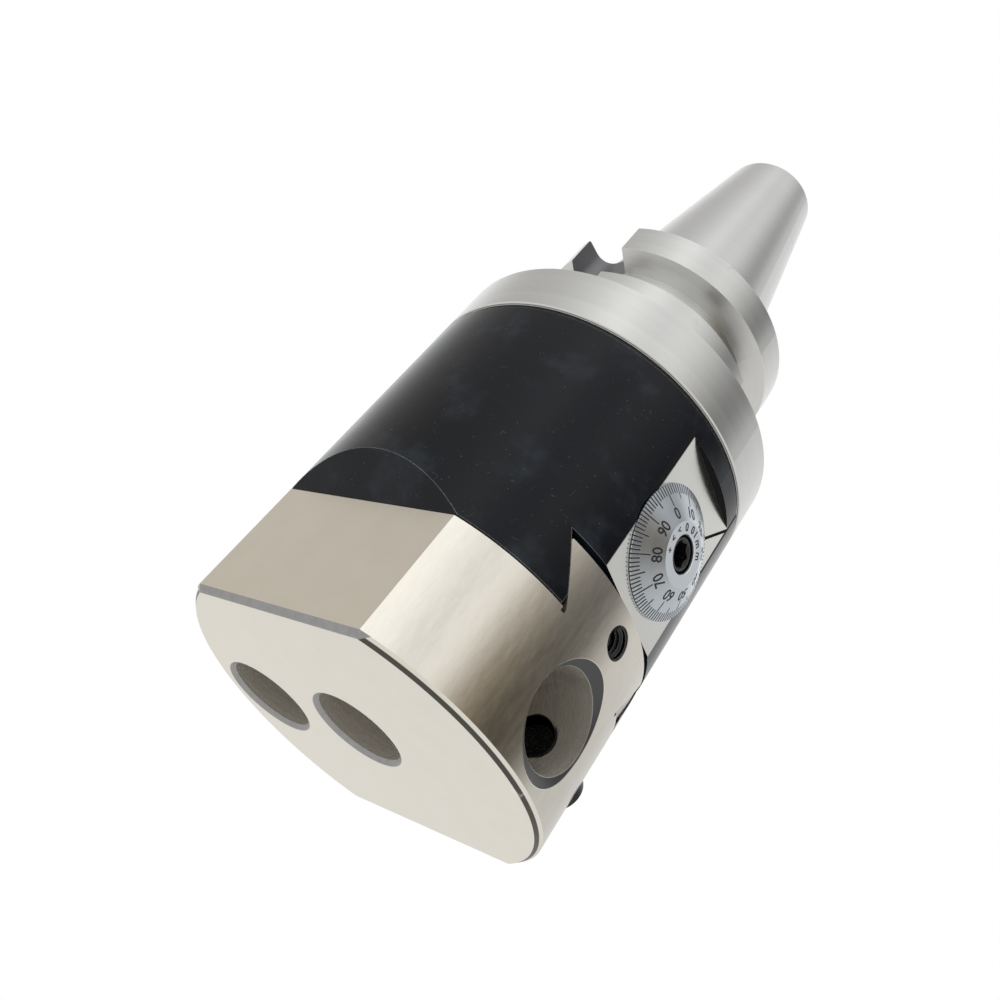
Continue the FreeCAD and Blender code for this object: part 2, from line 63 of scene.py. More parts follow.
# %% [markdown]
# The head is looked at from low down and close by, with the slide's face towards the viewer. A camera can be placed by
# turning it step by step, or by writing its three axes straight into a matrix. The matrix is used here, because the
# axes are exact and nobody has to undo a rotation order later.
# %% Camera
to_right = Vector((0.742056, 0.386093, 0.547983))
to_bottom = Vector((0.096239, 0.747643, -0.657090))
to_front = Vector((-0.663393, 0.540335, 0.517636))
camera_data = bpy.data.cameras.new("camera")
camera_data.sensor_width = 36
camera_data.lens = 37.025
camera_data.shift_x = 0.02661
camera_data.shift_y = -0.01851
camera_data.clip_start = 0.005
camera = bpy.data.objects.new("camera", camera_data)
camera_axes = Matrix((to_right, -to_bottom, -to_front)).transposed()
camera.matrix_world = Matrix.Translation(Vector((146.651, -137.089, -60.0)) * MM) @ camera_axes.to_4x4()
bpy.context.scene.collection.objects.link(camera)
bpy.context.scene.camera = camera
bpy.context.scene.view_settings.view_transform = "Standard"
print("camera at", [round(value, 3) for value in camera.location])

# %% [markdown]
# Materials are wired from small nodes. Naming every socket by hand makes long scripts, so a short helper adds a node,
# fills its inputs with numbers or links, and hands back the socket that the next node needs.
# %% A helper that wires nodes


class Wiring:
    """Short calls for adding and linking shader nodes in one tree."""

    def __init__(self, tree):
        self.nodes = tree.nodes
        self.links = tree.links

    def add(self, kind, inputs=(), **settings):
        node = self.nodes.new("ShaderNode" + kind)
        for name, value in settings.items():
            setattr(node, name, value)
        for key, value in dict(inputs).items():
            if isinstance(value, bpy.types.NodeSocket):
                self.links.new(value, node.inputs[key])
            else:
                node.inputs[key].default_value = value
        return node

    def maths(self, operation, *values, clamp=False):
        node = self.add("Math", dict(enumerate(values)), operation=operation, use_clamp=clamp)
        return node.outputs[0]

    def both(self, first, second):
        """A mask that is on only where both masks are."""
        return self.maths("MULTIPLY", first, second)

    def either(self, first, second):
        return self.maths("MAXIMUM", first, second)

    def step(self, value, start, end):
        """0 below start, 1 above end, smooth between; start may be the larger one."""
        inputs = {"Value": value, "From Min": start, "From Max": end, "To Min": 0.0, "To Max": 1.0}
        return self.add("MapRange", inputs, interpolation_type="SMOOTHSTEP").outputs[0]

    def near(self, value, centre, half_width, soft):
        """1 within half_width of centre, falling to 0 over soft."""
        away = self.maths("ABSOLUTE", self.maths("SUBTRACT", value, centre))
        return self.step(away, half_width + soft, half_width)

    def mix(self, mask, under, over):
        """Colours: under where the mask is 0, over where it is 1."""
        inputs = {0: mask, 6: under, 7: over}
        return self.add("Mix", inputs, data_type="RGBA").outputs[2]

    def blend(self, mask, under, over):
        """Numbers: under where the mask is 0, over where it is 1."""
        inputs = {0: mask, 2: under, 3: over}
        return self.add("Mix", inputs, data_type="FLOAT").outputs[0]

    def noise(self, vector, scale, detail=3.0, roughness=0.5):
        inputs = {"Vector": vector, "Scale": scale, "Detail": detail, "Roughness": roughness}
        return self.add("TexNoise", inputs).outputs[0]

    def vector(self, x, y, z):
        return self.add("CombineXYZ", {0: x, 1: y, 2: z}).outputs[0]

    def reach(self, first, second):
        """How far a point is from an axis, from its two distances across that axis."""
        return self.add("VectorMath", {0: self.vector(first, second, 0.0)}, operation="LENGTH").outputs["Value"]

    def parts(self, vector):
        return self.add("SeparateXYZ", {0: vector}).outputs

    def group(self, tree, inputs=()):
        node = self.nodes.new("ShaderNodeGroup")
        node.node_tree = tree
        for key, value in dict(inputs).items():
            if isinstance(value, bpy.types.NodeSocket):
                self.links.new(value, node.inputs[key])
            else:
                node.inputs[key].default_value = value
        return node.outputs


def new_group(name, takes, gives):
    """An empty node group with named inputs and outputs; returns its tree, wiring, and its two ends."""
    tree = bpy.data.node_groups.new(name, "ShaderNodeTree")
    for socket, kind in takes.items():
        tree.interface.new_socket(name=socket, in_out="INPUT", socket_type="NodeSocket" + kind)
    for socket, kind in gives.items():
        tree.interface.new_socket(name=socket, in_out="OUTPUT", socket_type="NodeSocket" + kind)
    source = tree.nodes.new("NodeGroupInput").outputs
    sink = tree.nodes.new("NodeGroupOutput").inputs
    return tree, Wiring(tree), source, sink


# %% [markdown]
# Steel shows its surroundings, so the light tent is half of the finish. A tent could be built from real panels and
# lamps. A sky that changes with direction does the same with less noise: it is bright nearly all round, with one warm
# dark gap at the side, as where the maker stands in front of a real tent. Low down the gap is dark, higher up it is
# only grey. The camera itself sees plain white behind the head.
# %% Light tent


def grey(level, warmth=0.0):
    """A grey of that level; warmth takes green and blue away."""
    return (level, level * (1 - 0.6 * warmth), level * (1 - 1.4 * warmth), 1.0)


low_tent = [
    (-180, grey(0.95)), (-160, grey(0.66, 0.1)), (-130, grey(0.6, 0.12)), (-105, grey(0.75, 0.05)),
    (-85, grey(1.1)), (-70, grey(1.3)), (-61, grey(1.2)), (-52, grey(1.02)), (-43, grey(0.84)), (-34, grey(1.06)),
    (-25, grey(0.96, 0.03)), (-16, grey(0.48, 0.15)), (-7, grey(0.24, 0.3)), (2, grey(0.12, 0.4)),
    (11, grey(0.06, 0.3)), (32, grey(0.1, 0.2)), (44, grey(0.4, 0.05)), (56, grey(0.66)), (89, grey(0.64)),
    (115, grey(0.75)), (140, grey(1.2)), (160, grey(1.25)), (180, grey(0.95)),
]
high_tent = [
    (-180, grey(1.0)), (-165, grey(0.7)), (-150, grey(0.62, 0.03)), (-128, grey(0.64, 0.02)), (-110, grey(0.74)),
    (-90, grey(0.94)), (-79, grey(1.2)), (-70, grey(1.3)), (-61, grey(1.06)), (-46, grey(0.9)), (-34, grey(1.08)),
    (-25, grey(1.05)), (-10, grey(0.8)), (2, grey(0.56)), (14, grey(0.3)), (24, grey(0.22)), (32, grey(0.3)),
    (42, grey(0.6)), (55, grey(0.88)), (90, grey(0.98)), (110, grey(1.12)), (135, grey(1.35)), (160, grey(1.3)),
    (180, grey(1.0)),
]

world = bpy.data.worlds.new("light_tent")
bpy.context.scene.world = world
world.use_nodes = True
world.node_tree.nodes.clear()
sky = Wiring(world.node_tree)
toward = sky.parts(sky.add("TexCoord").outputs["Generated"])
round_about = sky.maths("ARCTAN2", toward[1], toward[0])
round_share = sky.maths("MULTIPLY_ADD", round_about, 0.5 / math.pi, 0.5)


def tent_ramp(stops):
    ramp = sky.add("ValToRGB", {0: round_share})
    elements = ramp.color_ramp.elements
    elements[0].color = stops[0][1]
    elements[1].color = stops[-1][1]
    for angle, colour in stops[1:-1]:
        elements.new((angle + 180) / 360).color = colour
    return ramp.outputs[0]


height = sky.step(toward[2], 0.38, 0.66)
walls = sky.mix(height, tent_ramp(low_tent), tent_ramp(high_tent))
below = sky.step(toward[2], 0.05, -0.25)
walls = sky.mix(below, walls, (0.88, 0.87, 0.85, 1.0))
above = sky.step(toward[2], 0.86, 0.99)
walls = sky.mix(above, walls, (0.75, 0.75, 0.74, 1.0))
rays = sky.add("LightPath").outputs
walls = sky.mix(rays["Is Diffuse Ray"], walls, (0.8, 0.8, 0.8, 1.0))
walls = sky.mix(rays["Is Camera Ray"], walls, (1.0, 1.0, 1.0, 1.0))
background = sky.add("Background", {"Color": walls, "Strength": 1.0})
sky.links.new(background.outputs[0], sky.add("OutputWorld").inputs[0])
print("light tent with", len(low_tent), "and", len(high_tent), "stops")


def soft_lamp(name, place, aim, size, power):
    """A square lamp that lights the head without showing as a shape in its metal."""
    data = bpy.data.lights.new(name, "AREA")
    data.size = size
    data.energy = power
    lamp = bpy.data.objects.new(name, data)
    lamp.location = place
    lamp.rotation_euler = (Vector(aim) - Vector(place)).to_track_quat("-Z", "Y").to_euler()
    lamp.visible_glossy = False
    bpy.context.scene.collection.objects.link(lamp)


soft_lamp("lamp_over", (0.12, -0.2, 0.55), (0, 0, 0.08), 0.3, 1.1)
soft_lamp("lamp_side", (-0.45, -0.25, 0.2), (0, 0, 0.1), 0.3, 0.6)

# %% [markdown]
# The head stands on a pale floor. Seen from above the floor has to be there, with the head's soft shadow. Seen from
# below, it would hide the head, so its underside lets the view through, and so does the whole floor for light and
# reflections: the slide's face is lit from below as if the head were held up.
# %% Floor
bpy.ops.object.select_all(action="DESELECT")
bpy.ops.mesh.primitive_plane_add(size=1.6, location=(0, 0, -0.4 * MM))
floor = bpy.context.object
floor.name = "floor"
paper = bpy.data.materials.new("floor_paper")
paper.use_nodes = True
paper.node_tree.nodes.clear()
wires = Wiring(paper.node_tree)
fibre = wires.noise(wires.add("TexCoord").outputs["Object"], 40.0)
tone = wires.mix(fibre, (0.86, 0.86, 0.85, 1.0), (0.9, 0.9, 0.9, 1.0))
rays = wires.add("LightPath").outputs
facing = wires.maths("SUBTRACT", 1.0, wires.add("NewGeometry").outputs["Backfacing"])
seen = wires.both(rays["Is Camera Ray"], facing)
matt = wires.add("BsdfDiffuse", {"Color": tone})
clear = wires.add("BsdfTransparent")
joined = wires.add("MixShader", {0: seen, 1: clear.outputs[0], 2: matt.outputs[0]})
wires.links.new(joined.outputs[0], wires.add("OutputMaterial").inputs[0])
floor.data.materials.append(paper)

# %% [markdown]
# Many finishes ask the same question: where on the head is this point? The first shared group answers it in
# millimetres, with the distance from the spindle's axis, so that every mask can be written with the sizes of the
# drawing.
# %% Shared group: place on the head
place_group, wires, _, ends = new_group(
    "place_on_head", {}, {"X": "Float", "Y": "Float", "Z": "Float", "Radius": "Float", "Place": "Vector"}
)
object_place = wires.add("TexCoord").outputs["Object"]
scaled = wires.add("VectorMath", {0: object_place, 3: 1 / MM}, operation="SCALE").outputs[0]
x, y, z = wires.parts(scaled)
squares = wires.maths("ADD", wires.maths("MULTIPLY", x, x), wires.maths("MULTIPLY", y, y))
for name, value in (("X", x), ("Y", y), ("Z", z), ("Place", scaled)):
    wires.links.new(value, ends[name])
wires.links.new(wires.maths("SQRT", squares), ends["Radius"])

# %% [markdown]
# A lathe leaves rings that are never quite even. A wave texture looks too regular. Noise that is read along one line
# only, many times finer than the part, gives rings of every width, and the same value serves as height and as tone.
# Inputs: the distance across the rings, the spacing of the rings, and a point for slow changes along each ring.
# %% Shared group: turning rings
rings_group, wires, given, ends = new_group(
    "turning_rings",
    {"Across": "Float", "Spacing": "Float", "Place": "Vector"},
    {"Height": "Float", "Tone": "Float"},
)
across = wires.maths("DIVIDE", given["Across"], given["Spacing"])
fine = wires.noise(wires.vector(across, 0.0, 0.0), 1.0, 4.0, 0.75)
slow = wires.noise(given["Place"], 0.35, 2.0)
broad = wires.vector(wires.maths("MULTIPLY", across, 0.11), wires.maths("MULTIPLY", slow, 0.6), 0.0)
across_slow = wires.noise(broad, 1.0)
wires.links.new(fine, ends["Height"])
wires.links.new(wires.blend(0.5, fine, across_slow), ends["Tone"])

# %% [markdown]
# Handling leaves hairline scratches and lint. Both are curved and broken lines. The line where a noise passes through
# its middle value is such a curve; a second noise keeps only short pieces of it. Dust is the centre of sparse cells.
# %% Shared group: hairlines and dust
marks_group, wires, given, ends = new_group(
    "hairlines_and_dust",
    {"Place": "Vector", "Scale": "Float", "Amount": "Float"},
    {"Hairlines": "Float", "Dust": "Float"},
)
point = wires.add("VectorMath", {0: given["Place"], 3: given["Scale"]}, operation="SCALE").outputs[0]
curve = wires.maths("ABSOLUTE", wires.maths("SUBTRACT", wires.noise(point, 1.0, 1.0), 0.5))
thin = wires.step(curve, 0.006, 0.001)
shift = wires.add("VectorMath", {0: point, 1: (7.3, 2.1, 5.7)}, operation="ADD").outputs[0]
keep = wires.step(wires.noise(shift, 1.7, 2.0), wires.maths("SUBTRACT", 0.8, given["Amount"]), 0.82)
cells = wires.add("TexVoronoi", {"Vector": point, "Scale": 5.0}, feature="F1")
speck = wires.step(cells.outputs["Distance"], 0.1, 0.05)
chosen = wires.step(wires.parts(cells.outputs["Color"])[0], wires.maths("SUBTRACT", 1.0, given["Amount"]), 1.0)
wires.links.new(wires.both(thin, keep), ends["Hairlines"])
wires.links.new(wires.both(speck, chosen), ends["Dust"])

# %% [markdown]
# Edges lose their coating first, and catch the light: the brightening this mask drives is partly wear and partly a
# painted highlight. The Bevel node gives the normal that a rounded edge would have; where it leans away from the true
# normal, there is an edge. A noise breaks the line up.
# %% Shared group: edge wear and painted edge highlight
edge_light_and_wear_group, wires, given, ends = new_group(
    "edge_wear_and_painted_highlight", {"Place": "Vector", "Width": "Float", "Break": "Float"}, {"Mask": "Float"}
)
rounded = wires.add("Bevel", {"Radius": given["Width"]}, samples=4).outputs[0]
flat = wires.add("NewGeometry").outputs["Normal"]
lean = wires.add("VectorMath", {0: rounded, 1: flat}, operation="DOT_PRODUCT").outputs["Value"]
# the edge mask: the finishes brighten these edges, partly as wear and partly as a painted highlight
edge = wires.step(lean, 0.97, 0.86)
uneven = wires.noise(given["Place"], 0.9, 4.0, 0.7)
gaps = wires.step(uneven, wires.maths("SUBTRACT", given["Break"], 0.15), given["Break"])
wires.links.new(wires.both(edge, gaps), ends["Mask"])
print("shared groups:", [tree.name for tree in bpy.data.node_groups])

# %% [markdown]
# Every finish starts the same way: a material with one Principled shader, and the place on the head. This helper makes
# that start and assigns the material to the solids that carry it.
# %% Start of a finish


def new_finish(name, metallic, **constants):
    """Returns the material, its wiring, its shader's inputs and the place on the head."""
    material = bpy.data.materials.new(name)
    material.use_nodes = True
    material.node_tree.nodes.clear()
    wires = Wiring(material.node_tree)
    shader = wires.add("BsdfPrincipled", {"Metallic": metallic})
    for socket, value in constants.items():
        shader.inputs[socket.replace("_", " ")].default_value = value
    wires.links.new(shader.outputs[0], wires.add("OutputMaterial").inputs[0])
    return material, wires, shader.inputs, wires.group(place_group)


def put_on(material, *names):
    """Gives the solids that material in place of all they had."""
    for name in names:
        slots = nodes[name].data.materials
        for i in range(len(slots)):
            slots[i] = material
        if not len(slots):
            slots.append(material)


def bump(wires, height, strength, distance=0.01 * MM):
    inputs = {"Height": height, "Strength": strength, "Distance": distance}
    return wires.add("Bump", inputs).outputs[0]


def colour(red, green, blue):
    return (red, green, blue, 1.0)


# %% [markdown]
# The shank is one piece of turned and ground steel: the collar on the housing, the neck, the gripper flange and the
# taper. Collar and flange are turned, so their rings can be seen; the taper is ground much finer. The drive slots, the
# screw holes and the pull-stud hole are milled and rougher, and their colour is darkened as painted shade in these
# recesses. The slots lie on a line turned -99 degrees from the dial's side, so their mask measures along and across
# that line.
# %% Finish: turned steel shank
steel, wires, shader, place = new_finish("turned_steel", 1.0)
z, radius = place["Z"], place["Radius"]
rings = wires.group(rings_group, {"Across": z, "Spacing": 0.16, "Place": place["Place"]})
face_rings = wires.group(rings_group, {"Across": radius, "Spacing": 0.2, "Place": place["Place"]})
true_normal = wires.parts(wires.add("NewGeometry").outputs["True Normal"])
facing_axis = wires.step(wires.maths("ABSOLUTE", true_normal[2]), 0.6, 0.8)
ring_height = wires.blend(facing_axis, rings["Height"], face_rings["Height"])
ring_tone = wires.blend(facing_axis, rings["Tone"], face_rings["Tone"])
taper = wires.both(wires.step(z, gauge_z - 0.1, gauge_z + 0.1), wires.step(radius, 10.0, 12.0))
x, y = place["X"], place["Y"]
slot_line = math.radians(slot_angle)
line_x, line_y = math.cos(slot_line), math.sin(slot_line)
along = wires.maths("ADD", wires.maths("MULTIPLY", x, line_x), wires.maths("MULTIPLY", y, line_y))
beside = wires.maths("SUBTRACT", wires.maths("MULTIPLY", y, line_x), wires.maths("MULTIPLY", x, line_y))
past_floor = wires.step(wires.maths("ABSOLUTE", along), 22.3, 22.45)
in_slot = wires.both(wires.near(beside, 0.0, slot_half_width + 0.03, 0.03), past_floor)
in_slot = wires.both(in_slot, wires.near(z, slot_middle_z, 14.15, 0.03))
in_stud = wires.step(radius, stud_hole_radius + 0.1, stud_hole_radius - 0.1)
in_stud = wires.both(wires.step(z, 150.0, 152.0), in_stud)
screw_ring = wires.near(radius, shank_screw_circle, 5.5, 0.05)
screw_ring = wires.both(wires.near(z, collar_middle_z, 6.9, 0.1), screw_ring)
milled_and_shaded_recesses = wires.either(wires.either(in_slot, in_stud), screw_ring)
marks = wires.group(marks_group, {"Place": place["Place"], "Scale": 0.16, "Amount": 0.3})
worn_and_lit_edges = wires.group(edge_light_and_wear_group, {"Place": place["Place"], "Width": 0.25 * MM, "Break": 0.4})
base = wires.mix(ring_tone, colour(0.53, 0.53, 0.52), colour(0.72, 0.72, 0.70))
base = wires.mix(taper, base, wires.mix(ring_tone, colour(0.58, 0.58, 0.58), colour(0.68, 0.68, 0.67)))
# painted shade: the slots, the screw counterbores and the stud hole are darkened to a dull grey
base = wires.mix(milled_and_shaded_recesses, base, colour(0.2, 0.2, 0.21))
# edges brightened, partly wear and partly a painted highlight
base = wires.mix(wires.maths("MULTIPLY", worn_and_lit_edges["Mask"], 0.7), base, colour(0.9, 0.9, 0.89))
base = wires.mix(wires.maths("MULTIPLY", marks["Hairlines"], 0.35), base, colour(0.3, 0.3, 0.3))
wires.links.new(base, shader["Base Color"])
rough = wires.blend(ring_tone, 0.22, 0.36)
rough = wires.blend(taper, rough, 0.3)
rough = wires.blend(milled_and_shaded_recesses, rough, 0.45)
wires.links.new(wires.maths("ADD", rough, wires.maths("MULTIPLY", marks["Hairlines"], 0.2)), shader["Roughness"])
wires.links.new(bump(wires, ring_height, 0.25), shader["Normal"])
put_on(steel, "taper_shank")

# %% [markdown]
# The housing is blackened steel: oil sealed oxide, nearly black with a blue cast, smooth enough to mirror light at a
# low angle. It collects lint and fine scratches, its edges show thin bright lines, partly bare steel rubbed through and
# partly a painted highlight, and rubbed patches along them look paler.
# The flat under the dial was ground after blackening, so it is bare silver, with the index line filled in black.
# %% Finish: black oxide housing
black, wires, shader, place = new_finish("black_oxide", 0.0, IOR=1.3)
x, y, z = place["X"], place["Y"], place["Z"]
clouds = wires.noise(place["Place"], 0.09, 4.0, 0.6)
patches = wires.step(clouds, 0.5, 0.75)
grain = wires.noise(place["Place"], 4.0, 2.0)
marks = wires.group(marks_group, {"Place": place["Place"], "Scale": 0.26, "Amount": 0.24})
worn_and_lit_edges = wires.group(edge_light_and_wear_group, {"Place": place["Place"], "Width": 0.2 * MM, "Break": 0.42})
flat_area = wires.both(wires.near(z, 54.0, 25.45, 0.03), wires.near(y, 0.0, 12.9, 0.05))
dial_flat = wires.both(wires.near(x, dial_flat_x, 0.06, 0.03), flat_area)
# painted shade: the wall where the dial flat ends faces down, and it is made near black and matt
end_wall_painted_shade = wires.both(wires.near(z, dial_flat_end_z, 0.03, 0.03), wires.step(x, 39.98, 40.05))
index_floor = wires.both(wires.near(x, 39.7, 0.15, 0.03), wires.step(z, 60.0, 61.0))
base = wires.mix(patches, colour(0.002, 0.003, 0.0055), colour(0.013, 0.018, 0.025))
base = wires.mix(wires.maths("MULTIPLY", marks["Hairlines"], 0.28), base, colour(0.3, 0.32, 0.33))
base = wires.mix(wires.maths("MULTIPLY", marks["Dust"], 0.6), base, colour(0.4, 0.42, 0.42))
# edges made paler, partly rubbed and partly a painted highlight
rubbed_and_lit_edges = wires.maths("MULTIPLY", worn_and_lit_edges["Mask"], wires.blend(patches, 0.5, 0.9))
base = wires.mix(rubbed_and_lit_edges, base, colour(0.55, 0.56, 0.57))
base = wires.mix(index_floor, base, colour(0.004, 0.004, 0.004))
base = wires.mix(end_wall_painted_shade, base, colour(0.001, 0.001, 0.0015))
stretched = wires.vector(wires.maths("MULTIPLY", y, 0.3), 0.0, wires.maths("MULTIPLY", z, 6.0))
flat_grain = wires.noise(stretched, 1.0, 4.0)
silver = wires.mix(flat_grain, colour(0.72, 0.72, 0.69), colour(0.86, 0.86, 0.83))
base = wires.mix(dial_flat, base, silver)
wires.links.new(base, shader["Base Color"])
bare = wires.either(dial_flat, wires.maths("MULTIPLY", worn_and_lit_edges["Mask"], 0.8))
wires.links.new(bare, shader["Metallic"])
rough = wires.blend(clouds, 0.14, 0.3)
rough = wires.blend(dial_flat, rough, wires.blend(flat_grain, 0.2, 0.3))
rough = wires.blend(wires.either(index_floor, end_wall_painted_shade), rough, 0.7)
wires.links.new(wires.maths("ADD", rough, wires.maths("MULTIPLY", marks["Dust"], 0.3)), shader["Roughness"])
relief = wires.maths("ADD", wires.maths("MULTIPLY", grain, 0.35), marks["Dust"])
wires.links.new(bump(wires, relief, 0.25), shader["Normal"])
put_on(black, "head_housing")

# %% [markdown]
# The ring between housing and collar is plain matt black, as is the screw steel: heads and set screws are blackened,
# with a satin face and worn corners round the hexagon, brightened partly by wear and partly as a painted highlight.
# %% Finish: matt ring and black screws
ring, wires, shader, place = new_finish("black_ring", 0.0)
grain = wires.noise(place["Place"], 2.5, 4.0)
wires.links.new(wires.mix(grain, colour(0.004, 0.004, 0.004), colour(0.012, 0.012, 0.012)), shader["Base Color"])
wires.links.new(wires.blend(grain, 0.45, 0.7), shader["Roughness"])
wires.links.new(bump(wires, grain, 0.3), shader["Normal"])
put_on(ring, "joint_ring")

screw, wires, shader, place = new_finish("black_screw", 0.0, IOR=1.4)
grain = wires.noise(place["Place"], 3.0, 3.0)
worn_and_lit_edges = wires.group(edge_light_and_wear_group, {"Place": place["Place"], "Width": 0.12 * MM, "Break": 0.45})
base = wires.mix(grain, colour(0.002, 0.002, 0.0025), colour(0.01, 0.01, 0.011))
# corners brightened, partly wear and partly a painted highlight
wires.links.new(wires.mix(wires.maths("MULTIPLY", worn_and_lit_edges["Mask"], 0.5), base, colour(0.4, 0.4, 0.4)), shader["Base Color"])
wires.links.new(wires.maths("MULTIPLY", worn_and_lit_edges["Mask"], 0.6), shader["Metallic"])
wires.links.new(wires.blend(grain, 0.18, 0.34), shader["Roughness"])
wires.links.new(bump(wires, grain, 0.2), shader["Normal"])
put_on(screw, "bore_plug", "gib_screw_1", "gib_screw_2", "slide_lock_screw", "nut_post_screw", "feed_screw")
put_on(screw, "centre_clamp_screw", "offset_clamp_screw", "side_clamp_screw")
put_on(screw, *["shank_screw_%d" % number for number in range(1, 7)])

# %% [markdown]
# The slide is nickel plated: a warm white metal over ground steel. The plate follows the tool marks below it. The front
# face and the flats are ground, and the round side is turned. The chamfers were cut last and are satin grey, darkest
# along the round side's rim. The bores are reamed and look dull inside, and the clamp screws' holes show their threads
# as a ripple in the surface normal. The walls of the tapped holes are made near black, as painted shade in the threads.
# %% Finish: nickel plated slide
nickel, wires, shader, place = new_finish("nickel_plate", 1.0)
x, y, z, radius = place["X"], place["Y"], place["Z"], place["Radius"]
true_normal = wires.parts(wires.add("NewGeometry").outputs["True Normal"])
down_lean = wires.near(wires.maths("MULTIPLY", true_normal[2], -1.0), 0.7, 0.2, 0.05)
low_chamfer = wires.both(down_lean, wires.step(z, 1.3, 1.25))
off_flat = wires.maths("SUBTRACT", 1.0, wires.step(wires.maths("ABSOLUTE", y), 33.6, 33.8))
round_rim = wires.both(low_chamfer, wires.both(wires.step(radius, 40.0, 40.3), off_flat))
rim_top = wires.both(round_rim, wires.step(z, 0.6, 0.7))
low_chamfer = wires.both(low_chamfer, wires.maths("SUBTRACT", 1.0, rim_top))
bore_mask = (bore_radius + 0.1, bore_radius + 0.04)
above_side_bore = wires.maths("SUBTRACT", z, side_bore_z)
side_reach = wires.reach(y, above_side_bore)
side_cone = wires.both(wires.step(x, 39.5, 40.0), wires.step(radius, body_radius - 0.03, body_radius - 0.1))
side_cone = wires.both(wires.near(side_reach, 11.36, 1.3, 0.05), side_cone)
in_side_bore = wires.both(wires.step(side_reach, *bore_mask), wires.step(x, 10.0, 11.0))
below_roof = wires.step(z, 36.2, 36.1)
in_centre_bore = wires.both(wires.step(radius, *bore_mask), below_roof)
offset_reach = wires.reach(wires.maths("SUBTRACT", x, offset_bore_x), y)
in_offset_bore = wires.both(wires.step(offset_reach, *bore_mask), below_roof)
in_bore = wires.either(in_side_bore, wires.either(in_centre_bore, in_offset_bore))
cut_chamfer = wires.either(low_chamfer, side_cone)
post_reach = wires.reach(y, wires.maths("SUBTRACT", z, post_screw_z))
# tapped holes: the thread ripple is real relief, and their near black colour is painted shade
tapped_and_shaded = wires.both(wires.step(post_reach, 3.5, 3.4), wires.step(x, 20.0, 21.0))
for screw_x in (side_clamp_x, 0.0, offset_bore_x):
    screw_reach = wires.reach(wires.maths("SUBTRACT", x, screw_x), above_side_bore)
    tapped_and_shaded = wires.either(tapped_and_shaded, wires.both(wires.step(screw_reach, 5.6, 5.5), wires.step(y, 9.0, 9.5)))
round_side = wires.both(wires.near(radius, body_radius, 0.06, 0.03), wires.step(side_reach, 10.2, 10.3))
rings = wires.group(rings_group, {"Across": z, "Spacing": 0.22, "Place": place["Place"]})
along_bore = wires.blend(in_side_bore, z, x)
bore_rings = wires.group(rings_group, {"Across": along_bore, "Spacing": 0.12, "Place": place["Place"]})
stretched = wires.vector(
    wires.maths("MULTIPLY", x, 0.12), wires.maths("MULTIPLY", y, 2.2), wires.maths("MULTIPLY", z, 3.0)
)
grinding = wires.noise(stretched, 1.0, 4.0, 0.6)
clouds = wires.noise(place["Place"], 0.14, 3.0)
mottle = wires.noise(wires.vector(x, y, wires.maths("MULTIPLY", z, 0.25)), 0.8, 4.0, 0.7)
marks = wires.group(marks_group, {"Place": place["Place"], "Scale": 0.1, "Amount": 0.24})
worn_and_lit_edges = wires.group(edge_light_and_wear_group, {"Place": place["Place"], "Width": 0.22 * MM, "Break": 0.35})
base = wires.mix(clouds, colour(0.73, 0.70, 0.625), colour(0.79, 0.765, 0.70))
base = wires.mix(round_side, base, wires.mix(mottle, colour(0.68, 0.64, 0.56), colour(0.84, 0.81, 0.74)))
bore_tone = wires.mix(bore_rings["Tone"], colour(0.42, 0.39, 0.34), colour(0.8, 0.76, 0.68))
base = wires.mix(in_bore, base, bore_tone)
base = wires.mix(cut_chamfer, base, wires.mix(mottle, colour(0.26, 0.26, 0.265), colour(0.4, 0.4, 0.4)))
base = wires.mix(side_cone, base, colour(0.1, 0.1, 0.105))
base = wires.mix(wires.both(round_rim, low_chamfer), base, colour(0.09, 0.085, 0.075))
# painted shade in the tapped holes
base = wires.mix(tapped_and_shaded, base, colour(0.035, 0.034, 0.032))
# edges brightened, partly wear and partly a painted highlight
base = wires.mix(wires.maths("MULTIPLY", worn_and_lit_edges["Mask"], 0.3), base, colour(0.85, 0.83, 0.78))
base = wires.mix(wires.maths("MULTIPLY", marks["Hairlines"], 0.5), base, colour(0.93, 0.91, 0.88))
wires.links.new(base, shader["Base Color"])
wires.links.new(wires.blend(in_bore, 1.0, 0.6), shader["Metallic"])
rough = wires.blend(clouds, 0.26, 0.34)
rough = wires.blend(round_side, rough, wires.blend(mottle, 0.16, 0.3))
rough = wires.blend(in_bore, rough, wires.blend(bore_rings["Tone"], 0.2, 0.34))
rough = wires.blend(cut_chamfer, rough, 0.42)
wires.links.new(rough, shader["Roughness"])
height = wires.blend(round_side, grinding, rings["Height"])
height = wires.blend(in_bore, height, bore_rings["Height"])
thread_wave = wires.maths("PINGPONG", wires.maths("ADD", y, x), 0.75)
height = wires.blend(tapped_and_shaded, height, wires.maths("MULTIPLY", thread_wave, 12.0))
wires.links.new(bump(wires, height, 0.16), shader["Normal"])
put_on(nickel, "tool_slide")

